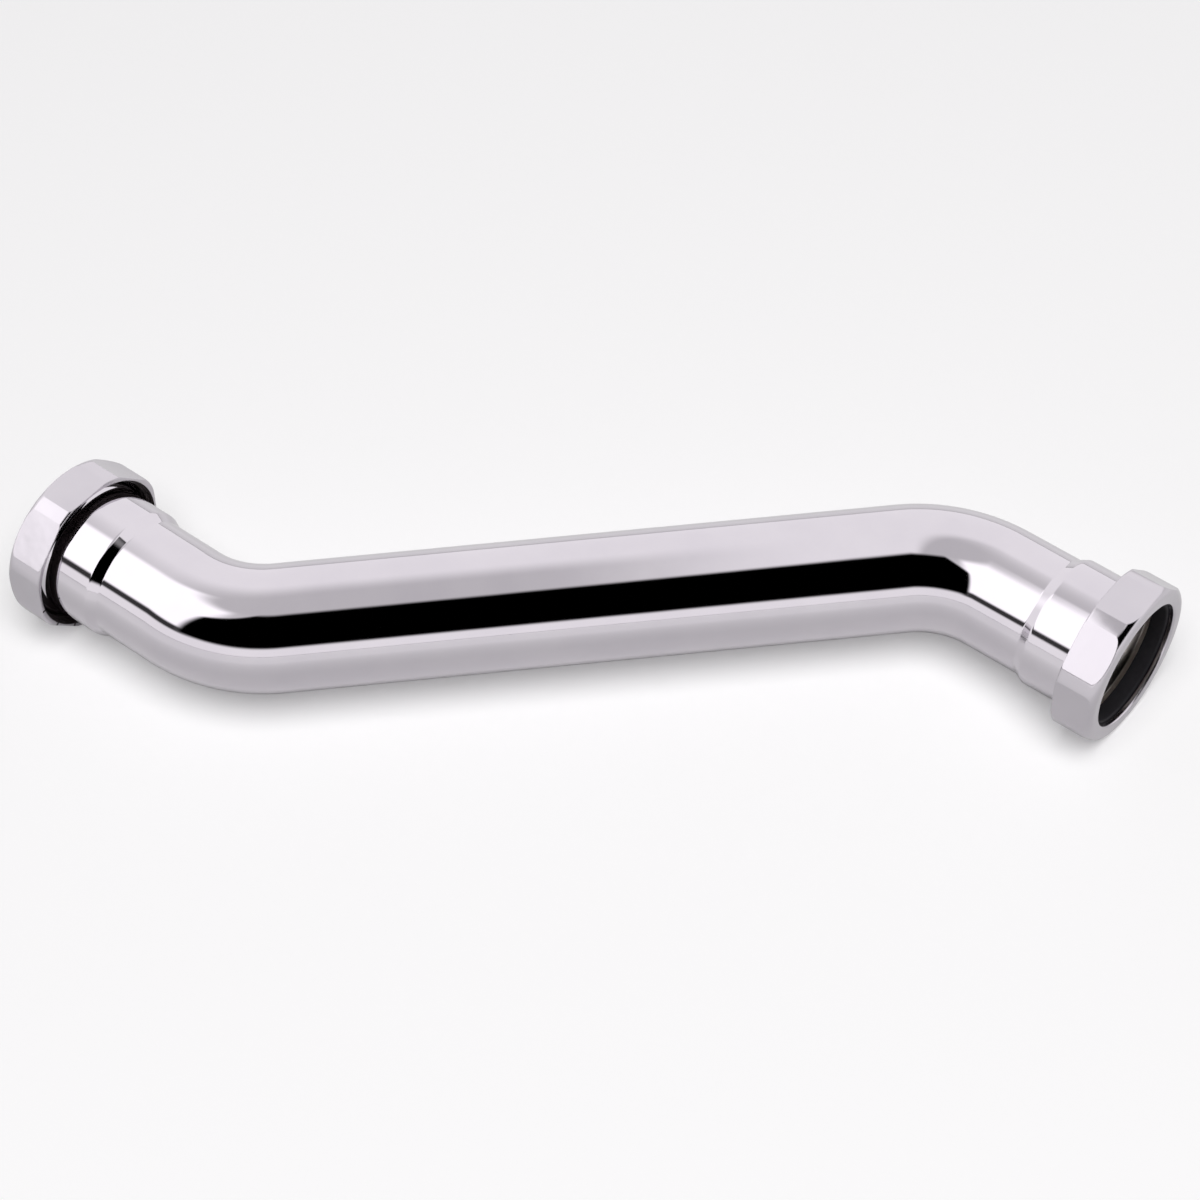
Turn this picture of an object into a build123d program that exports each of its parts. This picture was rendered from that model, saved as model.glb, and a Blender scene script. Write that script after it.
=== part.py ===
from build123d import *
import os
from math import cos, radians, sin, tan

# Double offset drain pipe: one drawn brass tube with two equal and opposite bends, chromed,
# and a slip joint at each end, made of the tube's own threaded bell, a rubber washer and a slip nut.
# The pipe lies flat: both bends are in one level plane, and a flat of each nut is on the ground at Z = 0.
# +X is the way out of the outlet, the inlet points along -X, and the origin is under the middle of the pipe.

# Tube
TUBE_OD = 38.1  # nominal 1 1/2 inch tube
TUBE_WALL = 1.2
BEND_ANGLE = 45.0
BEND_RADIUS = 38.1  # to the tube's centre line
OFFSET = 152.4  # between the axes of the two ends, 6 inches
PLAIN_LENGTH = 18.0  # plain tube between each bend and its bell

# Bell, from the bend outwards: shoulder, socket, flare and threaded mouth
SHOULDER_LENGTH = 3.0
SOCKET_DEPTH = 15.4  # the bore that holds the mating tube
SOCKET_CLEARANCE = 0.3  # radial, round a mating tube of the same size
FLARE_LENGTH = 2.0
FLARE_RISE = 2.65  # radial step from the socket to the thread
THREAD_LENGTH = 5.5
MOUTH_ROUND = 0.4
BELL_ROUND = 1.2  # round on the hollow side of the shoulder and the flare

# Slip nut
NUT_SIDES = 8
NUT_WALL = 1.1  # from the thread to the middle of a flat
NUT_CORNER_RISE = 1.2  # from a flat to the turned corners
NUT_SKIRT = 9.0  # from the tube's end face to the nut's open back, past the thread
NUT_LIP = 2.0  # thickness of the inturned front
NUT_FRONT_ROUND = 3.0  # crowned front edge
NUT_BACK_BEVEL = 0.5  # along the axis, at both edges of the open back
NUT_CORNER_BEVEL = 1.0  # radial, off the corners at the open back
NUT_HOLE_CLEARANCE = 1.0  # radial, round the mating tube
NUT_HOLE_BEVEL = 0.7
THREAD_CLEARANCE = 0.4  # radial, between the plain cylinders that stand for the two threads

# Slip joint washer
WASHER_FLANGE = 2.0  # squeezed between the tube's end and the nut's lip
WASHER_BORE_CLEARANCE = 0.2  # radial, round the mating tube
WASHER_RIM_CLEARANCE = 0.3  # radial, inside the nut and inside the mouth
WASHER_NOSE = 3.0  # bevelled nose inside the mouth
WASHER_NOSE_TIP = 0.7  # thickness at the end of the nose
WASHER_SEAT_GAP = 0.05  # at each face of the flange, hand tight

# Radii that follow from these
tube_outer = TUBE_OD / 2
tube_inner = tube_outer - TUBE_WALL
socket_inner = tube_outer + SOCKET_CLEARANCE
socket_outer = socket_inner + TUBE_WALL
thread_outer = socket_outer + FLARE_RISE
thread_inner = thread_outer - TUBE_WALL
nut_bore = thread_outer + THREAD_CLEARANCE
nut_flat = nut_bore + NUT_WALL
nut_turned = nut_flat + NUT_CORNER_RISE
nut_hole = tube_outer + NUT_HOLE_CLEARANCE
washer_bore = tube_outer + WASHER_BORE_CLEARANCE

# Places along an end's own axis, with 0 at the tube's end face and + out of the mouth
thread_start = -THREAD_LENGTH
flare_start = thread_start - FLARE_LENGTH
socket_start = flare_start - SOCKET_DEPTH
bell_start = socket_start - SHOULDER_LENGTH
nut_back = -NUT_SKIRT
lip_back = WASHER_FLANGE + 2 * WASHER_SEAT_GAP
nut_front = lip_back + NUT_LIP

# Places in the pipe's own frame
bend_setback = BEND_RADIUS * tan(radians(BEND_ANGLE / 2))
run_length = OFFSET / sin(radians(BEND_ANGLE))  # between the corner points of the two bends
bend_end = bell_start - PLAIN_LENGTH
end_reach = run_length / 2 * cos(radians(BEND_ANGLE)) + bend_setback - bend_end
axis_height = nut_flat

# Each end's own axis starts here: the inlet is the outlet turned half round
outlet_place = Pos(end_reach, OFFSET / 2, axis_height)
inlet_place = Pos(-end_reach, -OFFSET / 2, axis_height) * Rot(0, 0, 180)


def ring(outline):
    """Turn a closed outline, drawn as distance along the axis and radius, about the end's axis."""
    return revolve(outline, axis=Axis.X)


def bell_line(small, middle, large, shift, hollow_round, full_round):
    """One side of the bell's wall: plain tube, shoulder, socket, flare, thread. A wall of even
    thickness needs its inner line's slopes moved along by the shift."""
    shoulder_shift, flare_shift = shift
    return FilletPolyline(
        (bend_end, small),
        (bell_start + shoulder_shift, small),
        (socket_start + shoulder_shift, middle),
        (flare_start + flare_shift, middle),
        (thread_start + flare_shift, large),
        (0, large),
        radius=[hollow_round, full_round, hollow_round, full_round],
    )


def slope_shift(rise, length):
    """How far along the axis the inner side of an even wall has its slope."""
    slope = (rise**2 + length**2) ** 0.5
    return TUBE_WALL * (slope - length) / rise


def leg():
    """Plain tube and bell of one end, in the end's own frame."""
    shift = (
        slope_shift(socket_outer - tube_outer, SHOULDER_LENGTH),
        slope_shift(FLARE_RISE, FLARE_LENGTH),
    )
    full_round = BELL_ROUND + TUBE_WALL
    outer = bell_line(tube_outer, socket_outer, thread_outer, (0, 0), BELL_ROUND, full_round)
    inner = bell_line(tube_inner, socket_inner, thread_inner, shift, full_round, BELL_ROUND)
    wall = make_face([outer, Line(outer @ 1, inner @ 1), inner, Line(inner @ 0, outer @ 0)])
    mouth = wall.vertices().group_by(Axis.X)[-1]
    return ring(fillet(mouth, MOUTH_ROUND))


def tube_section():
    return Circle(tube_outer) - Circle(tube_inner)


def bend():
    """The bend behind a leg, which carries on from the leg's inner end."""
    section = Plane((bend_end, 0, 0), x_dir=(0, 1, 0), z_dir=(1, 0, 0)) * tube_section()
    pivot = Axis((bend_end, -BEND_RADIUS, 0), (0, 0, 1))
    return revolve(section, axis=pivot, revolution_arc=BEND_ANGLE)


def straight_run():
    """The long tube between the bends, centred on the pipe."""
    along = Vector(cos(radians(BEND_ANGLE)), sin(radians(BEND_ANGLE)), 0)
    middle = Plane((0, 0, axis_height), z_dir=along)
    return extrude(middle * tube_section(), amount=run_length / 2 - bend_setback, both=True)


def offset_tube():
    end = leg() + bend()
    return straight_run() + outlet_place * end + inlet_place * end


def nut_envelope():
    """Turned outside of a nut: bevelled at the back and crowned at the front."""
    outline = Polyline(
        (nut_back, 0),
        (nut_back, nut_turned - NUT_CORNER_BEVEL),
        (nut_back + NUT_BACK_BEVEL, nut_turned),
        (nut_front, nut_turned),
        (nut_front, 0),
        close=True,
    )
    outside = make_face(outline)
    front_edge = outside.vertices().group_by(Axis.X)[-1].sort_by(Axis.Y)[-1]
    return ring(fillet(front_edge, NUT_FRONT_ROUND))


def nut_hollow():
    """Threaded bore, open at the back, and the hole in the lip for the mating tube."""
    outline = Polyline(
        (nut_back, 0),
        (nut_back, nut_bore + NUT_BACK_BEVEL),
        (nut_back + NUT_BACK_BEVEL, nut_bore),
        (lip_back, nut_bore),
        (lip_back, nut_hole),
        (nut_front - NUT_HOLE_BEVEL, nut_hole),
        (nut_front, nut_hole + NUT_HOLE_BEVEL),
        (nut_front, 0),
        close=True,
    )
    return ring(make_face(outline))


def slip_nut():
    """Eight-sided slip nut, with one flat level below its axis."""
    back = Plane((nut_back, 0, 0), x_dir=(0, 1, 0), z_dir=(1, 0, 0))
    flats = RegularPolygon(nut_flat, NUT_SIDES, major_radius=False, rotation=180 / NUT_SIDES)
    blank = extrude(back * flats, amount=nut_front - nut_back)
    return (blank & nut_envelope()) - nut_hollow()


def slip_washer():
    """Bevelled rubber washer: a flange against the nut's lip, and a nose inside the mouth."""
    face = WASHER_SEAT_GAP
    outline = Polyline(
        (face + WASHER_FLANGE, washer_bore),
        (face + WASHER_FLANGE, nut_bore - WASHER_RIM_CLEARANCE),
        (face, nut_bore - WASHER_RIM_CLEARANCE),
        (face, thread_inner - WASHER_RIM_CLEARANCE - MOUTH_ROUND),
        (face - WASHER_NOSE, washer_bore + WASHER_NOSE_TIP),
        (face - WASHER_NOSE, washer_bore),
        close=True,
    )
    return ring(make_face(outline))


def main():
    os.makedirs("parts", exist_ok=True)
    export_step(offset_tube(), "parts/offset_tube.step")
    for end, place in (("inlet", inlet_place), ("outlet", outlet_place)):
        export_step(place * slip_nut(), f"parts/{end}_slip_nut.step")
        export_step(place * slip_washer(), f"parts/{end}_washer.step")


main()
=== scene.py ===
# %% [markdown]
# # A double offset drain pipe
# The object is a chromed drain tube with two opposite bends, and a slip joint at each end. The CAD
# frame holds its true sizes. This lesson dresses it: a smooth tube, turned nuts with milled flats,
# wound threads, rubber washers, and the finishes. First the frame is loaded.

from math import cos, pi, radians, sin, tan

import bpy
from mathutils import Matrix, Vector


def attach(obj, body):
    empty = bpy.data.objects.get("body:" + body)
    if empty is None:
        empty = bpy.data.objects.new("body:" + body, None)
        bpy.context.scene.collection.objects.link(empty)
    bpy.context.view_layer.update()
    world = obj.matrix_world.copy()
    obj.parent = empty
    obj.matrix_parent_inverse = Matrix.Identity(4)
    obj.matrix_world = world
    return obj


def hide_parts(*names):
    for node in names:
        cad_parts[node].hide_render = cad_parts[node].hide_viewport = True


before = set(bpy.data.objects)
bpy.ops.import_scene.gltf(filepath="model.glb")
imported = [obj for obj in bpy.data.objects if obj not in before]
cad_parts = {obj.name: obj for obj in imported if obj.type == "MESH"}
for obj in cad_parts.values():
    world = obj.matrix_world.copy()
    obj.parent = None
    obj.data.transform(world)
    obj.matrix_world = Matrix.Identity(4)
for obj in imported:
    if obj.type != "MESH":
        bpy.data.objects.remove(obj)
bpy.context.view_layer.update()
scene = bpy.context.scene
MM = 0.001

# %% [markdown]
# ## Sizes
# The pieces below have to sit where the solids sit. They could be measured off the solids' meshes, but
# named sizes also say what each length is for, so the ones that several pieces share are written once
# here, in millimetres. Places run along each end's own axis: 0 is the tube's end face, and plus is out
# of the mouth. The pipe lies on a flat of each nut, so its axis is as high as a flat is far from it.

# %% Sizes of the pipe
TUBE_R, WALL = 19.05, 1.2
BEND, BEND_R = radians(45), 38.1
OFFSET = 152.4
PLAIN, SHOULDER, SOCKET, FLARE, THREAD = 18.0, 3.0, 15.4, 2.0, 5.5
SOCKET_GAP, FLARE_RISE = 0.3, 2.65
NUT_GAP, NUT_WALL = 0.4, 1.1
THREAD_START = -THREAD
FLARE_START = THREAD_START - FLARE
SOCKET_START = FLARE_START - SOCKET
BELL_START = SOCKET_START - SHOULDER
BEND_END = BELL_START - PLAIN
SOCKET_R = TUBE_R + SOCKET_GAP + WALL
THREAD_R = SOCKET_R + FLARE_RISE
NUT_BORE_R = THREAD_R + NUT_GAP
NUT_FLAT_R = NUT_BORE_R + NUT_WALL
AXIS_Z = NUT_FLAT_R
END_X = OFFSET / 2 / tan(BEND) + BEND_R * tan(BEND / 2) - BEND_END
RUN = OFFSET / sin(BEND) - 2 * BEND_R * tan(BEND / 2)
print(f"end faces at x = {END_X:.2f} mm, straight run {RUN:.2f} mm")

# %% [markdown]
# ## A ring that is drawn out
# Every round piece here starts as one circle, which is extruded station by station and scaled to its
# next radius, as a turner would follow a template. A lathe-like spin of a profile would do as well, but
# drawing the ring out lets the same ring go on round the bends.

# %% Helpers for rings
SEGMENTS = 128
SAME_PLACE = 1e-7


def start_ring(name, x, y, radius, segments=SEGMENTS):
    """A circle that faces along X, in edit mode with all of it selected."""
    bpy.ops.object.select_all(action="DESELECT")
    bpy.ops.mesh.primitive_circle_add(
        vertices=segments,
        radius=radius * MM,
        location=(x * MM, y * MM, AXIS_Z * MM),
        rotation=(0, pi / 2, 0),
    )
    ring = bpy.context.object
    ring.name = name
    bpy.ops.object.transform_apply(location=True, rotation=True, scale=True)
    bpy.ops.object.mode_set(mode="EDIT")
    bpy.ops.mesh.select_all(action="SELECT")
    return ring


def draw_ring(step, grow=1.0, centre=None):
    """Extrude the selected ring by a step, and scale it about its own centre, across the X axis."""
    bpy.ops.mesh.extrude_region_move(TRANSFORM_OT_translate={"value": [v * MM for v in step]})
    if grow != 1.0:
        bpy.ops.transform.resize(value=(1, grow, grow), center_override=[v * MM for v in centre])


def leave_edit(piece):
    """Merge doubles, point the faces outwards and go back to object mode."""
    bpy.ops.mesh.select_all(action="SELECT")
    bpy.ops.mesh.remove_doubles(threshold=SAME_PLACE)
    bpy.ops.mesh.normals_make_consistent(inside=False)
    bpy.ops.object.mode_set(mode="OBJECT")
    places = [(piece.location.x + v.co.x) / MM for v in piece.data.vertices]
    reach = f"{min(places):.2f} to {max(places):.2f} mm"
    print(piece.name, len(piece.data.polygons), "faces, x from", reach)


# %% [markdown]
# ## Rounded corners
# Formed, turned and moulded pieces have no sharp corners. The Bevel operator could round them after the
# ring is drawn, but it would have to be told which loops to take. Here each corner of a profile carries
# its own round, and the stations along that arc are worked out before the ring is drawn.

# %% Stations of a profile
ARC_STEPS = 5


def rounded(corners, steps=ARC_STEPS):
    """Stations (place, radius) along a profile of corners (place, radius, round)."""
    points = [Vector(c[:2]) for c in corners]
    stations = [points[0]]
    for before, here, after, (_, _, ease) in zip(points, points[1:], points[2:], corners[1:]):
        if not ease:
            stations.append(here)
            continue
        one, two = (before - here).normalized(), (after - here).normalized()
        half = one.angle(two) / 2
        middle = here + (one + two).normalized() * ease / sin(half)
        first, last = here + one * ease / tan(half), here + two * ease / tan(half)
        for i in range(steps + 1):
            spoke = (first - middle).slerp(last - middle, i / steps).normalized()
            stations.append(middle + spoke * ease)
    stations.append(points[-1])
    return stations


# %% [markdown]
# ## The tube
# The real tube is drawn, bent twice and belled at both ends from one length of brass, so it is one skin
# here: it starts as the outlet's mouth, follows the bell inwards, is spun round the first bend, drawn
# along the run, spun back round the second bend, and opened out into the inlet's bell. A curve with a
# bevel could make the bends, but not the bells. The mouth is drawn a little narrower than the solid's,
# because the thread's ridge comes on top of it later.

# %% Outer skin of the tube
ROOT_DROP = 0.4
THREAD_ROOT_R = THREAD_R - ROOT_DROP
THREAD_ROUND, FLARE_ROUND, SOCKET_ROUND, SHOULDER_ROUND = 1.6, 1.2, 2.0, 1.2
BELL_CORNERS = [
    (0.0, THREAD_ROOT_R, 0),
    (THREAD_START, THREAD_ROOT_R, THREAD_ROUND),
    (FLARE_START, SOCKET_R, FLARE_ROUND),
    (SOCKET_START, SOCKET_R, SOCKET_ROUND),
    (BELL_START, TUBE_R, SHOULDER_ROUND),
    (BEND_END, TUBE_R, 0),
]
BEND_STEPS, RUN_STEPS = 40, 12
bell = rounded(BELL_CORNERS)
outlet_y = OFFSET / 2
tube = start_ring("chromed_tube", END_X, outlet_y, bell[0].y)
for here, after in zip(bell, bell[1:]):
    draw_ring((after.x - here.x, 0, 0), after.y / here.y, (END_X + after.x, outlet_y, AXIS_Z))

# With no window, the spin operator turns clockwise about its axis for a positive angle.
bend_x = END_X + BEND_END
bend_pivot = Vector((bend_x, outlet_y - BEND_R, AXIS_Z)) * MM
bpy.ops.mesh.spin(steps=BEND_STEPS, angle=-BEND, center=bend_pivot, axis=(0, 0, 1))
for _ in range(RUN_STEPS):
    draw_ring((-cos(BEND) * RUN / RUN_STEPS, -sin(BEND) * RUN / RUN_STEPS, 0))
back_pivot = Vector((-bend_x, BEND_R - outlet_y, AXIS_Z)) * MM
bpy.ops.mesh.spin(steps=BEND_STEPS, angle=BEND, center=back_pivot, axis=(0, 0, 1))
bell_out = bell[::-1]
for here, after in zip(bell_out, bell_out[1:]):
    draw_ring((here.x - after.x, 0, 0), after.y / here.y, (-END_X - after.x, -outlet_y, AXIS_Z))
leave_edit(tube)

# %% [markdown]
# The skin becomes a wall. A second, smaller ring could be drawn through it, but the Solidify modifier
# keeps an even thickness by itself, as a drawn tube does. Its inner faces take the second material slot,
# because the plating covers only the outside, and the bore is raw brass.

# %% Wall of the tube
TUBE_SMOOTH = 35


def pick(piece):
    """Make a piece the only selected one, and the active one."""
    bpy.ops.object.select_all(action="DESELECT")
    piece.select_set(True)
    bpy.context.view_layer.objects.active = piece


def finish_with(piece, kind, **settings):
    """Add a modifier, set it and apply it."""
    pick(piece)
    modifier = piece.modifiers.new(kind.title(), kind)
    for key, value in settings.items():
        setattr(modifier, key, value)
    bpy.ops.object.modifier_apply(modifier=modifier.name)


def smooth(piece, angle):
    """Shade smooth, apart from the edges that are steeper than an angle in degrees."""
    pick(piece)
    bpy.ops.object.shade_smooth_by_angle(angle=radians(angle))


tube.data.materials.append(bpy.data.materials.new("chrome_plate"))
tube.data.materials.append(bpy.data.materials.new("raw_brass"))
finish_with(
    tube,
    "SOLIDIFY",
    thickness=WALL * MM,
    offset=-1,
    use_even_offset=True,
    material_offset=1,
    material_offset_rim=0,
)
smooth(tube, TUBE_SMOOTH)
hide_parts("offset_tube")
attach(tube, "tube")
print("tube wall", len(tube.data.polygons), "faces")

# %% [markdown]
# ## The slip nuts
# A slip nut is turned from bar: a bore with a lip at the front, a crowned front edge, a rounded back.
# Eight flats are then milled on it for the wrench. On an eight-sided cylinder a bevel would follow the
# flats, while the real crown is round. So one closed ring is drawn round the turned section, and the
# flats are cut after that by eight bisects, each one filled. The turned arcs are fine enough to be
# shaded smooth at 12 degrees. The edges of the flats are steeper than that, so they stay crisp, and a
# flat stays level in reflections.

# %% Section of a nut
NUT_SKIRT, NUT_LIP, WASHER_FLANGE, SEAT_GAP = 9.0, 2.0, 2.0, 0.05
CORNER_RISE, HOLE_GAP = 1.2, 1.0
BACK_BEVEL = 0.5
LIP_ROUND, HOLE_ROUND, CROWN_ROUND, BACK_ROUND = 0.4, 0.7, 3.0, 0.8
NUT_BACK = -NUT_SKIRT
LIP_BACK = WASHER_FLANGE + 2 * SEAT_GAP
NUT_FRONT = LIP_BACK + NUT_LIP
NUT_TURNED_R = NUT_FLAT_R + CORNER_RISE
NUT_HOLE_R = TUBE_R + HOLE_GAP
NUT_CORNERS = [
    (NUT_BACK + BACK_BEVEL, NUT_BORE_R, 0),
    (LIP_BACK, NUT_BORE_R, LIP_ROUND),
    (LIP_BACK, NUT_HOLE_R, LIP_ROUND),
    (NUT_FRONT, NUT_HOLE_R, HOLE_ROUND),
    (NUT_FRONT, NUT_TURNED_R, CROWN_ROUND),
    (NUT_BACK, NUT_TURNED_R, BACK_ROUND),
    (NUT_BACK, NUT_BORE_R + BACK_BEVEL, 0),
    (NUT_BACK + BACK_BEVEL, NUT_BORE_R, 0),
]
print(f"nut {NUT_FRONT - NUT_BACK:.1f} mm long, {2 * NUT_FLAT_R:.1f} mm across its flats")

# %% [markdown]
# The nut is turned first, on the outlet's axis, and the flats are milled off it one after another. The
# first is on top, and there is an even number of them, so one is level below, where the nut lies.

# %% One nut, at the outlet
NUT_SEGMENTS, NUT_ARC_STEPS = 192, 10
NUT_SMOOTH = 12
FLATS = 8
FLAT_MERGE = 0.01


def turned_ring(name, corners, segments, steps):
    """A closed ring on the outlet's axis, turned from a profile whose last corner is its first."""
    stations = rounded(corners, steps)
    ring = start_ring(name, END_X + stations[0].x, outlet_y, stations[0].y, segments)
    for here, after in zip(stations, stations[1:]):
        draw_ring((after.x - here.x, 0, 0), after.y / here.y, (END_X + after.x, outlet_y, AXIS_Z))
    leave_edit(ring)
    return ring


def mill_flats(nut):
    """Cut equal flats round the outlet's axis."""
    pick(nut)
    bpy.ops.object.mode_set(mode="EDIT")
    for i in range(FLATS):
        round_axis = 2 * pi * i / FLATS
        out = Vector((0, sin(round_axis), cos(round_axis)))
        flat = Vector((0, outlet_y, AXIS_Z)) * MM + out * NUT_FLAT_R * MM
        bpy.ops.mesh.select_all(action="SELECT")
        bpy.ops.mesh.bisect(
            plane_co=flat, plane_no=out, use_fill=True, clear_outer=True, threshold=SAME_PLACE
        )
    bpy.ops.mesh.select_all(action="SELECT")
    bpy.ops.mesh.remove_doubles(threshold=FLAT_MERGE * MM)
    bpy.ops.object.mode_set(mode="OBJECT")


outlet_nut = turned_ring("outlet_nut_chromed", NUT_CORNERS, NUT_SEGMENTS, NUT_ARC_STEPS)
mill_flats(outlet_nut)
smooth(outlet_nut, NUT_SMOOTH)
print("milled nut", len(outlet_nut.data.polygons), "faces")

# %% [markdown]
# The inlet nut is the same nut. It could be modelled again, but a copy is sure to match: it gets its own
# mesh, and is turned half round about the pipe's upright axis, which is how the two ends are related.

# %% The other nut


def half_round(piece, name):
    """A copy of a piece, with its own mesh, for the pipe's other end."""
    pick(piece)
    bpy.ops.object.duplicate()
    copy = bpy.context.object
    copy.name = name
    copy.rotation_euler = (0, 0, pi)
    bpy.ops.object.transform_apply(location=True, rotation=True, scale=True)
    print(copy.name, "copied from", piece.name)
    return copy


inlet_nut = half_round(outlet_nut, "inlet_nut_chromed")
for nut, end in ((inlet_nut, "inlet"), (outlet_nut, "outlet")):
    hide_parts(f"{end}_slip_nut")
    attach(nut, f"{end}_nut")

# %% [markdown]
# ## The threads
# The threads are fine, so the solids have plain cylinders there. Here each thread is one ridge wound
# round the bell's root, or round the wall of the nut's bore. A stack of rings would look much the same,
# but rings don't climb. So a small section is made by extruding one point, and the Screw modifier turns
# it and moves it on by one pitch each turn. The section is given as shares of the pitch and heights in
# millimetres. The nut's ridge starts a pitch and a half before the bell's, and so runs in its groove.

# %% Sizes of the threads
INCH, THREADS_PER_INCH = 25.4, 11.5
PITCH = INCH / THREADS_PER_INCH
RIDGE = [(0.1, -0.1), (0.1, 0.05), (0.36, 0.62), (0.48, 0.62), (0.74, 0.05), (0.74, -0.1)]
RUN_IN, NUT_BEFORE = 0.3, 1.5
BELL_THREAD = THREAD_START + RUN_IN
NUT_THREAD = BELL_THREAD - NUT_BEFORE * PITCH
BELL_TURNS, NUT_TURNS = 1.5, 3.0
TURN_STEPS = 72
SMALL_SMOOTH = 50
print(f"pitch {PITCH:.4f} mm")

# %% [markdown]
# A point is not a primitive, so a tiny plane is merged to its centre, and that point is moved to the
# foot of the ridge and extruded along the section. The Screw modifier leaves both ends of the ridge
# open, and they are found as the edges that have only one face, and filled.

# %% Threads of the outlet


def wind_thread(name, start, root, way, turns):
    """A ridge that stands out (way 1) or in (way -1) from its root, wound round the outlet's axis."""
    bpy.ops.object.select_all(action="DESELECT")
    bpy.ops.mesh.primitive_plane_add(size=MM, location=Vector((END_X, outlet_y, AXIS_Z)) * MM)
    thread = bpy.context.object
    thread.name = name
    bpy.ops.object.mode_set(mode="EDIT")
    bpy.ops.mesh.select_all(action="SELECT")
    bpy.ops.mesh.merge(type="CENTER")
    places = [Vector((start + a * PITCH, 0, root + way * h)) * MM for a, h in RIDGE]
    bpy.ops.transform.translate(value=places[0])
    for here, after in zip(places, places[1:]):
        bpy.ops.mesh.extrude_region_move(TRANSFORM_OT_translate={"value": after - here})
    bpy.ops.mesh.select_all(action="SELECT")
    bpy.ops.mesh.edge_face_add()
    bpy.ops.mesh.delete(type="ONLY_FACE")
    bpy.ops.object.mode_set(mode="OBJECT")
    steps = round(TURN_STEPS * turns)
    finish_with(
        thread,
        "SCREW",
        axis="X",
        angle=2 * pi * turns,
        screw_offset=PITCH * turns * MM,
        steps=steps,
        render_steps=steps,
    )
    bpy.ops.object.mode_set(mode="EDIT")
    bpy.ops.mesh.select_all(action="DESELECT")
    bpy.ops.mesh.select_non_manifold()
    bpy.ops.mesh.edge_face_add()
    leave_edit(thread)
    bpy.ops.object.transform_apply(location=True, rotation=True, scale=True)
    smooth(thread, SMALL_SMOOTH)
    return thread


outlet_thread = wind_thread("outlet_thread", BELL_THREAD, THREAD_ROOT_R, 1, BELL_TURNS)
outlet_nut_thread = wind_thread("outlet_nut_thread", NUT_THREAD, NUT_BORE_R, -1, NUT_TURNS)

# %% [markdown]
# A right-hand thread that is turned half round is still right-handed, while a mirrored one would be
# left-handed. So the inlet's threads are turned copies too. A bell's ridge belongs to the tube, and a
# nut's ridge goes round with its nut.

# %% Threads of the inlet
inlet_thread = half_round(outlet_thread, "inlet_thread")
inlet_nut_thread = half_round(outlet_nut_thread, "inlet_nut_thread")
for thread in (outlet_thread, inlet_thread):
    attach(thread, "tube")
for thread, end in ((outlet_nut_thread, "outlet"), (inlet_nut_thread, "inlet")):
    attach(thread, f"{end}_nut")

# %% [markdown]
# ## The rubber washers
# Each joint is sealed by a rubber washer: a flange between the tube's end and the nut's lip, and a
# bevelled nose in the mouth. A torus could be squeezed into that shape, but a ring that is drawn round
# the section is true to it. The rubber is moulded, so its corners have small rounds. The profile starts
# and ends in the bore, where no corner is.

# %% Washers
BORE_GAP, RIM_GAP, STEP_GAP = 0.2, 0.3, 0.7
NOSE, NOSE_TIP, PROFILE_START = 3.0, 0.7, 1.2
NOSE_ROUND, STEP_ROUND, RIM_ROUND, FACE_ROUND = 0.25, 0.3, 0.4, 0.5
WASHER_SEGMENTS, WASHER_ARC_STEPS = 96, 3
WASHER_R = TUBE_R + BORE_GAP
WASHER_STEP_R = THREAD_R - WALL - STEP_GAP
WASHER_RIM_R = NUT_BORE_R - RIM_GAP
FLANGE_BACK, FLANGE_FRONT, NOSE_END = SEAT_GAP, SEAT_GAP + WASHER_FLANGE, SEAT_GAP - NOSE
WASHER_CORNERS = [
    (PROFILE_START, WASHER_R, 0),
    (NOSE_END, WASHER_R, NOSE_ROUND),
    (NOSE_END, WASHER_R + NOSE_TIP, NOSE_ROUND),
    (FLANGE_BACK, WASHER_STEP_R, STEP_ROUND),
    (FLANGE_BACK, WASHER_RIM_R, STEP_ROUND),
    (FLANGE_FRONT, WASHER_RIM_R, RIM_ROUND),
    (FLANGE_FRONT, WASHER_R, FACE_ROUND),
    (PROFILE_START, WASHER_R, 0),
]
outlet_washer = turned_ring("outlet_washer_rubber", WASHER_CORNERS, WASHER_SEGMENTS, WASHER_ARC_STEPS)
smooth(outlet_washer, SMALL_SMOOTH)
inlet_washer = half_round(outlet_washer, "inlet_washer_rubber")
for washer, end in ((inlet_washer, "inlet"), (outlet_washer, "outlet")):
    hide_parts(f"{end}_washer")
    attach(washer, f"{end}_washer")

# %% [markdown]
# ## Finishes
# A finish could be painted on a picture, but a picture would have to be unwrapped round every bend. Noise
# on the piece's own Object coordinates needs none, and it stays on the piece when the piece moves. The
# helpers make a material's nodes, and turn one noise into a tone, a roughness and an uneven surface.

# %% Helpers for finishes


def node(tree, kind, **inputs):
    """A node with its inputs set by name."""
    made = tree.nodes.new(kind)
    for key, value in inputs.items():
        made.inputs[key.replace("_", " ")].default_value = value
    return made


def finish_tree(name):
    """The material, its nodes, its shader, and the piece's own Object coordinates."""
    material = bpy.data.materials.get(name) or bpy.data.materials.new(name)
    material.use_nodes = True
    tree = material.node_tree
    shader = tree.nodes["Principled BSDF"]
    place = tree.nodes.new("ShaderNodeTexCoord")
    print("finish", name)
    return material, tree, shader, place.outputs["Object"]


def noise(tree, place, scale, detail):
    """A noise over the piece, from 0 to 1."""
    made = node(tree, "ShaderNodeTexNoise", Scale=scale, Detail=detail)
    tree.links.new(place, made.inputs["Vector"])
    return made.outputs["Fac"]


def spread(tree, value, low, high):
    """Map a 0 to 1 value on to a range."""
    ranged = node(tree, "ShaderNodeMapRange", To_Min=low, To_Max=high)
    tree.links.new(value, ranged.inputs["Value"])
    return ranged.outputs["Result"]


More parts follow.
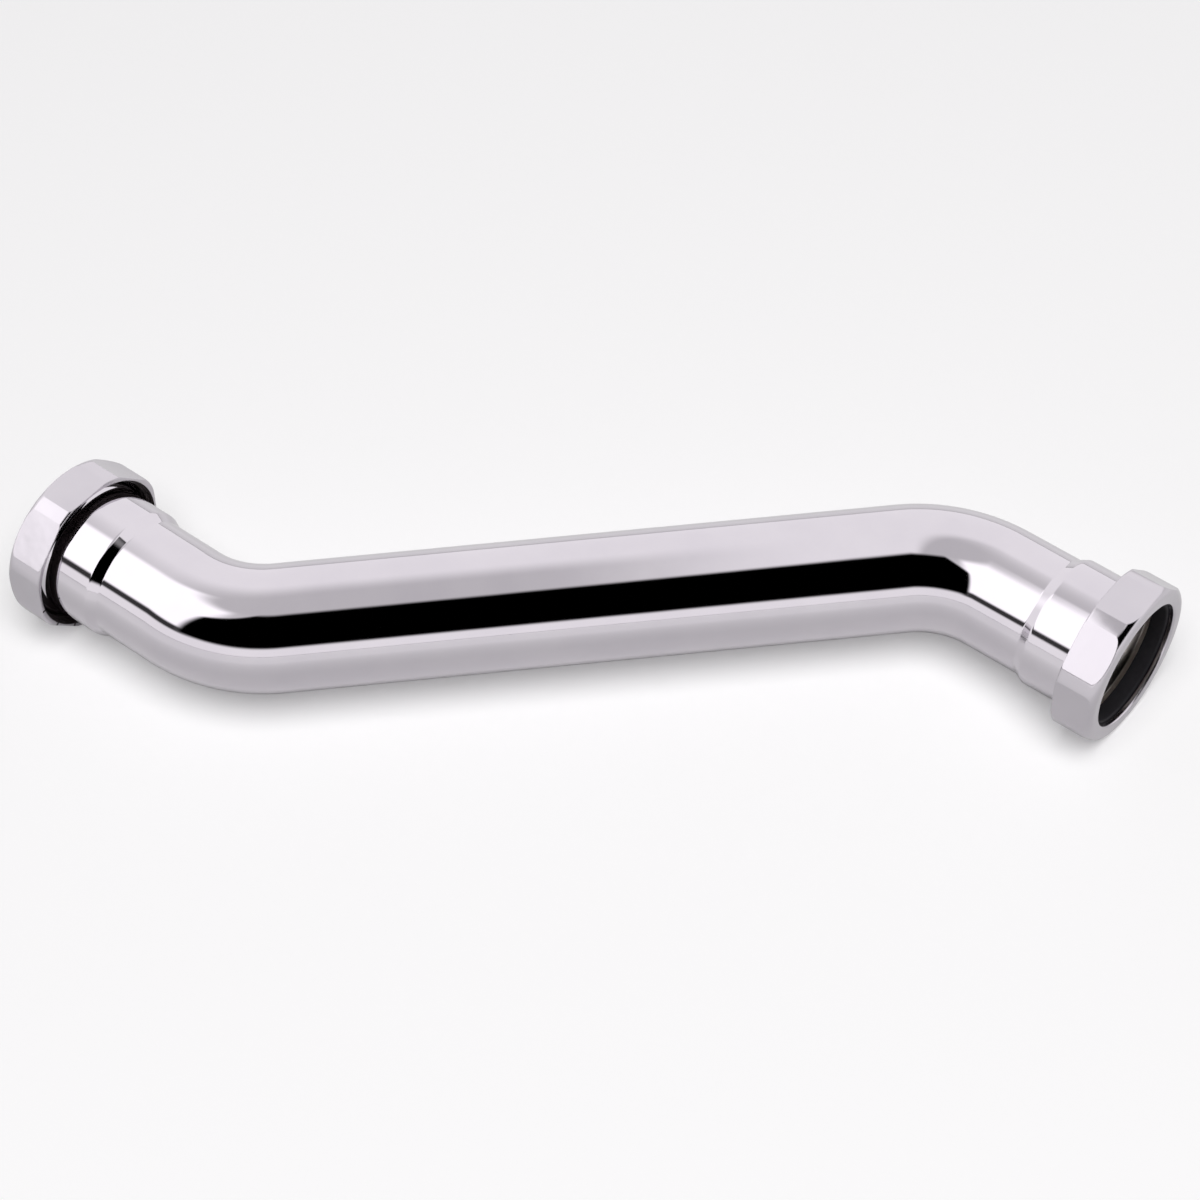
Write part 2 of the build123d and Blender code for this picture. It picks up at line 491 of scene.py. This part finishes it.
def two_tone(tree, value, tones):
    """A colour between two tones, by a 0 to 1 value."""
    tint = tree.nodes.new("ShaderNodeValToRGB")
    for stop, colour in zip(tint.color_ramp.elements, tones):
        stop.color = (*colour, 1)
    tree.links.new(value, tint.inputs["Fac"])
    return tint.outputs["Color"]


def uneven(tree, height, shader, strength, depth):
    """Bend the shader's normal by a height, with its depth in metres."""
    bump = node(tree, "ShaderNodeBump", Strength=strength, Distance=depth)
    tree.links.new(height, bump.inputs["Height"])
    tree.links.new(bump.outputs["Normal"], shader.inputs["Normal"])
    return bump


# %% [markdown]
# ## Chrome plate
# Chrome is a dark mirror: it sends back a little over half of what it sees. A plain mirror would look too
# perfect. The plating follows the polishing marks under it, so the roughness varies softly, and a very
# weak bump bends the reflections a little. The nuts are less polished than the tube, and a Bevel node
# softens their milled edges in the shading.

# %% Chrome of the tube and of the nuts
HAZE_SCALE, HAZE_DETAIL = 60.0, 4.0
RIPPLE_DETAIL = 2.0
TUBE_TONES = (0.59, 0.56, 0.605), (0.67, 0.64, 0.675)
TUBE_ROUGH = 0.02, 0.07
TUBE_RIPPLE, TUBE_RIPPLE_DEPTH = 45.0, 0.00003
NUT_TONES = (0.53, 0.505, 0.545), (0.63, 0.6, 0.635)
NUT_ROUGH = 0.09, 0.2
NUT_RIPPLE, NUT_RIPPLE_DEPTH = 140.0, 0.00004
NUT_EDGE = 0.0004


def chrome(name, tones, rough, ripple, depth, edge=0.0):
    """Plating in two close tones, with polishing haze, a weak ripple and, for milled pieces, soft edges."""
    material, tree, shader, place = finish_tree(name)
    shader.inputs["Metallic"].default_value = 1.0
    haze = noise(tree, place, HAZE_SCALE, HAZE_DETAIL)
    tree.links.new(two_tone(tree, haze, tones), shader.inputs["Base Color"])
    tree.links.new(spread(tree, haze, *rough), shader.inputs["Roughness"])
    bump = uneven(tree, noise(tree, place, ripple, RIPPLE_DETAIL), shader, 1.0, depth)
    if edge:
        soft_edge = node(tree, "ShaderNodeBevel", Radius=edge)
        tree.links.new(soft_edge.outputs["Normal"], bump.inputs["Normal"])
    return material


chrome("chrome_plate", TUBE_TONES, TUBE_ROUGH, TUBE_RIPPLE, TUBE_RIPPLE_DEPTH)
nut_chrome = chrome("nut_chrome", NUT_TONES, NUT_ROUGH, NUT_RIPPLE, NUT_RIPPLE_DEPTH, NUT_EDGE)

# %% [markdown]
# ## Raw brass
# Inside the tube the brass was never plated: it is yellow, dull and stained in patches. Plating reaches
# only a little way into a mouth, so the bells' insides are greyer. Faces could be given a second finish
# there, but the change is gradual. So the grey comes in with the distance from the pipe's middle along X,
# in metres, since only the mouths are that far out.

# %% Brass bore
STAIN_SCALE, STAIN_DETAIL = 70.0, 6.0
BRASS_TONES = (0.31, 0.25, 0.18), (0.57, 0.49, 0.37)
BRASS_ROUGH = 0.28, 0.48
PLATED_FROM, PLATED_TO, PLATED_MOST = 0.105, 0.122, 0.8
PLATED_TONE = 0.66, 0.62, 0.6, 1
# A Mix node has a set of sockets for each kind of data, and these are the ones for colours.
MIX_SHARE, MIX_FIRST, MIX_SECOND, MIXED = 0, 6, 7, 2


def join(tree, kind, a, b=0.0):
    """A math node, fed by numbers or by other nodes' outputs."""
    made = tree.nodes.new("ShaderNodeMath")
    made.operation = kind
    for socket, value in zip(made.inputs, (a, b)):
        if isinstance(value, (int, float)):
            socket.default_value = value
        else:
            tree.links.new(value, socket)
    return made.outputs[0]


_, tree, shader, place = finish_tree("raw_brass")
shader.inputs["Metallic"].default_value = 1.0
stain = noise(tree, place, STAIN_SCALE, STAIN_DETAIL)
tree.links.new(spread(tree, stain, *BRASS_ROUGH), shader.inputs["Roughness"])
axes = tree.nodes.new("ShaderNodeSeparateXYZ")
tree.links.new(place, axes.inputs["Vector"])
outward = join(tree, "ABSOLUTE", axes.outputs["X"])
mouth = node(tree, "ShaderNodeMapRange", From_Min=PLATED_FROM, From_Max=PLATED_TO, To_Max=PLATED_MOST)
tree.links.new(outward, mouth.inputs["Value"])
plated = tree.nodes.new("ShaderNodeMix")
plated.data_type = "RGBA"
tree.links.new(mouth.outputs["Result"], plated.inputs[MIX_SHARE])
tree.links.new(two_tone(tree, stain, BRASS_TONES), plated.inputs[MIX_FIRST])
plated.inputs[MIX_SECOND].default_value = PLATED_TONE
tree.links.new(plated.outputs[MIXED], shader.inputs["Base Color"])

# %% [markdown]
# ## Painted shade in the nut bore
# A nut is plated outside, while its threaded bore is painted near black, as painted shade for the gap
# behind the nut. Even black would be too flat, so a noise makes it uneven, and some shine is left.

# %% Painted shade of the bore
BORE_NOISE_SCALE, BORE_NOISE_DETAIL = 220.0, 5.0
# Painted shade: near-black tones that stand in for the dark gap behind each nut.
BORE_SHADE_TONES = (0.012, 0.009, 0.012), (0.05, 0.038, 0.035)
BORE_ROUGH = 0.4, 0.6
BORE_METAL = 0.7
painted_shade_bore, tree, shader, place = finish_tree("painted_shade_bore")
shader.inputs["Metallic"].default_value = BORE_METAL
bore_noise = noise(tree, place, BORE_NOISE_SCALE, BORE_NOISE_DETAIL)
tree.links.new(two_tone(tree, bore_noise, BORE_SHADE_TONES), shader.inputs["Base Color"])
tree.links.new(spread(tree, bore_noise, *BORE_ROUGH), shader.inputs["Roughness"])

# %% [markdown]
# The faces of a nut's bore are found by their place, which still works if the nut is drawn with more
# faces: they look towards the nut's axis, and they lie further out than the hole in the lip. They take
# the painted shade, and so do the nuts' threads. The bells' threads are plated.

# %% Finish of the nuts and the threads
LIP_MARGIN = 2.0
BORE_FACES_R = (NUT_HOLE_R + LIP_MARGIN) * MM
for nut, y in ((outlet_nut, outlet_y), (inlet_nut, -outlet_y)):
    nut.data.materials.append(nut_chrome)
    nut.data.materials.append(painted_shade_bore)
    axis = Vector((0, y, AXIS_Z)) * MM
    bore = 0
    for face in nut.data.polygons:
        out = (face.center - axis) * Vector((0, 1, 1))
        if face.normal.dot(out) < 0 and out.length > BORE_FACES_R:
            face.material_index = 1
            bore += 1
    print(nut.name, bore, "faces in the bore")
for thread in (outlet_thread, inlet_thread):
    thread.data.materials.append(nut_chrome)
# The nuts' threads take the painted shade of the bore.
for thread in (outlet_nut_thread, inlet_nut_thread):
    thread.data.materials.append(painted_shade_bore)

# %% [markdown]
# ## Rubber
# The washers are matt black rubber, which shows only at their rims inside the mouths. One even black would
# lose their shape there, so a fine grain sets the tone, the roughness and a small bump.

# %% Washer rubber
GRAIN_SCALE, GRAIN_DETAIL = 900.0, 3.0
RUBBER_TONES = (0.01, 0.009, 0.011), (0.024, 0.023, 0.026)
RUBBER_ROUGH = 0.5, 0.7
RUBBER_SHEEN = 0.2
GRAIN_STRENGTH, GRAIN_DEPTH = 0.5, 0.00005
rubber, tree, shader, place = finish_tree("washer_rubber")
shader.inputs["Specular IOR Level"].default_value = RUBBER_SHEEN
grain = noise(tree, place, GRAIN_SCALE, GRAIN_DETAIL)
tree.links.new(two_tone(tree, grain, RUBBER_TONES), shader.inputs["Base Color"])
tree.links.new(spread(tree, grain, *RUBBER_ROUGH), shader.inputs["Roughness"])
uneven(tree, grain, shader, GRAIN_STRENGTH, GRAIN_DEPTH)
for washer in (outlet_washer, inlet_washer):
    washer.data.materials.append(rubber)

# %% [markdown]
# ## Camera
# The camera stands where the photograph was taken from: about 50 degrees up, and about a metre away, with
# a long lens. It could be moved by eye until the picture looks right, but its place and its lens were
# fitted to the pipe's outline instead, which is closer.

# %% Camera
CAMERA_PLACE = 0.37897, -0.48422, 0.75716
CAMERA_TILT, CAMERA_TURN = radians(39.981), radians(37.855)
SENSOR, LENS = 36, 97.58
camera_data = bpy.data.cameras.new("camera")
camera = bpy.data.objects.new("camera", camera_data)
scene.collection.objects.link(camera)
camera.location = CAMERA_PLACE
camera.rotation_euler = (CAMERA_TILT, 0, CAMERA_TURN)
camera_data.sensor_width = SENSOR
camera_data.lens = LENS
scene.camera = camera
print(f"camera {camera.location.length:.2f} m from the pipe's middle")

# %% [markdown]
# ## White table
# The pipe lies on a white table that goes on out of the picture. More light would make it white, but would
# also bleach the pipe. So its own colour is pale, and a little glow that only the camera and the mirrors
# see lifts it to the photograph's bright white. A mirror that is close to the table sees less of the glow:
# this is painted shade, for the pipe's own shade on the table. The light on the pipe stays as it is, and so
# does its shadow.

# %% White table
TABLE_SIZE = 8
TABLE_TONE = 0.72, 0.715, 0.72, 1
TABLE_ROUGH, TABLE_SHEEN = 0.85, 0.1
GLOW_TONE = 1, 0.99, 1, 1
GLOW_SEEN, GLOW_MIRRORED, GLOW_NEAR, GLOW_FAR = 0.275, 0.26, 0.04, 0.14


def ray_kinds(tree):
    """The kinds of ray that arrive, and 1 for a ray that a mirror sent."""
    path = tree.nodes.new("ShaderNodeLightPath").outputs
    return path, join(tree, "MAXIMUM", path["Is Glossy Ray"], path["Is Transmission Ray"])


bpy.ops.object.select_all(action="DESELECT")
bpy.ops.mesh.primitive_plane_add(size=TABLE_SIZE, location=(0, 0, 0))
table = bpy.context.object
table.name = "table"
table_white, tree, shader, _ = finish_tree("table_white")
shader.inputs["Base Color"].default_value = TABLE_TONE
shader.inputs["Roughness"].default_value = TABLE_ROUGH
shader.inputs["Specular IOR Level"].default_value = TABLE_SHEEN
shader.inputs["Emission Color"].default_value = GLOW_TONE
path, mirrored = ray_kinds(tree)
# Painted shade: the glow that mirrors see fades close to the pipe, by the length of the ray.
far_off = node(tree, "ShaderNodeMapRange", From_Min=GLOW_NEAR, From_Max=GLOW_FAR, To_Max=GLOW_MIRRORED)
tree.links.new(path["Ray Length"], far_off.inputs["Value"])
mirror_glow = join(tree, "MULTIPLY", mirrored, far_off.outputs["Result"])
seen_glow = join(tree, "MULTIPLY", path["Is Camera Ray"], GLOW_SEEN)
tree.links.new(join(tree, "ADD", seen_glow, mirror_glow), shader.inputs["Emission Strength"])
table.data.materials.append(table_white)

# %% [markdown]
# ## The studio
# Chrome shows the room more than itself. The photograph's room has a large soft light on the camera's left,
# a pale wall behind the pipe, a grey ceiling, and a dark side round the camera, which makes the black band
# along the run. Boards and lamps could be built for these, but they would also shade the table. So the
# world holds them as parts of the sky, and each is a patch between two angles of turn, counted from the
# camera to its left, and two angles above the table, all in degrees.

# %% Angles of the sky
CAMERA_SIDE = radians(-52)
DEGREE = pi / 180
world = bpy.data.worlds.new("studio")
scene.world = world
world.use_nodes = True
sky_tree = world.node_tree
sky = sky_tree.nodes["Background"]
direction = sky_tree.nodes.new("ShaderNodeTexCoord").outputs["Generated"]


def reckon(kind, a, b=0.0):
    """A math node of the sky."""
    return join(sky_tree, kind, a, b)


def along(x, y, z):
    """How far a ray points along a unit vector."""
    dot = sky_tree.nodes.new("ShaderNodeVectorMath")
    dot.operation = "DOT_PRODUCT"
    sky_tree.links.new(direction, dot.inputs[0])
    dot.inputs[1].default_value = (x, y, z)
    return dot.outputs["Value"]


to_camera = along(cos(CAMERA_SIDE), sin(CAMERA_SIDE), 0)
to_left = along(sin(CAMERA_SIDE), -cos(CAMERA_SIDE), 0)
turn = reckon("DIVIDE", reckon("ARCTAN2", to_left, to_camera), DEGREE)
up = reckon("DIVIDE", reckon("ARCSINE", along(0, 0, 1)), DEGREE)

# %% [markdown]
# Hard-edged patches would look cut out of paper, while a room is blurred in a real tube. So each limit of a
# patch is a smooth step. The patches are laid one over another, and each covers what lies under it.

# %% Patches of the sky


def past(value, limit, soft):
    """0 below the limit, 1 above it, with a soft edge."""
    edge = node(sky_tree, "ShaderNodeMapRange", From_Min=limit - soft, From_Max=limit + soft)
    edge.interpolation_type = "SMOOTHSTEP"
    sky_tree.links.new(value, edge.inputs["Value"])
    return edge.outputs["Result"]


def short_of(value, limit, soft):
    """1 below the limit, 0 above it, with a soft edge."""
    return reckon("SUBTRACT", 1.0, past(value, limit, soft))


def between(value, low, high, soft):
    """1 between two limits, 0 outside them."""
    return reckon("MULTIPLY", past(value, low, soft), short_of(value, high, soft))


def patch(turns, heights, turn_soft, up_soft):
    """A patch of the sky: 1 inside, 0 outside."""
    return reckon("MULTIPLY", between(turn, *turns, turn_soft), between(up, *heights, up_soft))


def lay(base, mask, level):
    """Put a patch of an even level over what the sky holds so far."""
    kept = reckon("MULTIPLY", base, reckon("SUBTRACT", 1.0, mask))
    return reckon("ADD", kept, reckon("MULTIPLY", mask, level))


# %% [markdown]
# A ray that a straight tube mirrors keeps its lean along the tube. So the ceiling, which ends at a lean
# along the run, ends at one place of the run. The soft light has a narrow dark gap below it, which makes the
# thin line on each leg. The dark side has one corner cut off, where the band on the run ends in a slope.
# Only the camera and the mirrors see this room: a matt surface gets an even fill instead.

# %% Wall, ceiling, soft light and dark side
WALL_LEVEL, CEILING_LEVEL, SOFTBOX_LEVEL = 1.15, 0.72, 1.7
GAP_LEVEL, DARK_LEVEL, FILL_LEVEL = 0.05, 0.0, 0.05
CEILING_FROM, CEILING_SOFT = 62, 14
LEAN_MOST, LEAN_SOFT = 0.1, 0.05
SOFTBOX = (46, 128), (22, 70), 8, 4
GAP = (46, 78), (13, 21.5), 8, 2
DARK_SIDE = (-82, 51), (14.5, 73), 3, 3
CORNER_SLOPE, CORNER_FROM, CORNER_SOFT = 0.67, 87, 3
SKY_TONE = 1, 0.985, 1, 1
lean = along(cos(BEND), sin(BEND), 0)
ceiling = reckon("MULTIPLY", past(up, CEILING_FROM, CEILING_SOFT), short_of(lean, LEAN_MOST, LEAN_SOFT))
room = lay(WALL_LEVEL, ceiling, CEILING_LEVEL)
room = lay(room, patch(*SOFTBOX), SOFTBOX_LEVEL)
room = lay(room, patch(*GAP), GAP_LEVEL)
corner = reckon("ADD", up, reckon("MULTIPLY", turn, CORNER_SLOPE))
dark = reckon("MULTIPLY", patch(*DARK_SIDE), short_of(corner, CORNER_FROM, CORNER_SOFT))
room = lay(room, dark, DARK_LEVEL)
path, mirrored = ray_kinds(sky_tree)
seen = reckon("MAXIMUM", path["Is Camera Ray"], mirrored)
sky.inputs["Color"].default_value = SKY_TONE
sky_tree.links.new(lay(FILL_LEVEL, seen, room), sky.inputs["Strength"])
print("studio with", len(sky_tree.nodes), "nodes")

# %% [markdown]
# A soft lamp above the table, a little to the camera's side, brings the light on the pipe up to a plain
# level and gives the shadow under it. A near lamp would leave the table grey further off, so this one is
# large and stands well away. It is hidden from the mirrors, which already have their room.

# %% Lamp above the table
LAMP_FAR, LAMP_SIZE, LAMP_POWER = 3.0, 2.36, 93.0
LAMP_SIDE, LAMP_UP = radians(-48), radians(70)
lamp_way = Vector((cos(LAMP_SIDE) * cos(LAMP_UP), sin(LAMP_SIDE) * cos(LAMP_UP), sin(LAMP_UP)))
lamp_turn = lamp_way.to_track_quat("Z", "Y").to_euler()
bpy.ops.object.light_add(type="AREA", location=lamp_way * LAMP_FAR, rotation=lamp_turn)
lamp = bpy.context.object
lamp.name = "lamp"
lamp.data.shape = "DISK"
lamp.data.size = LAMP_SIZE
lamp.data.energy = LAMP_POWER
lamp.visible_glossy = False
print("lamp at", [round(v, 2) for v in lamp.location])

# %% [markdown]
# ## Close
# The colours are shown with the Standard view transform.

# %% Finish
scene.view_settings.view_transform = "Standard"
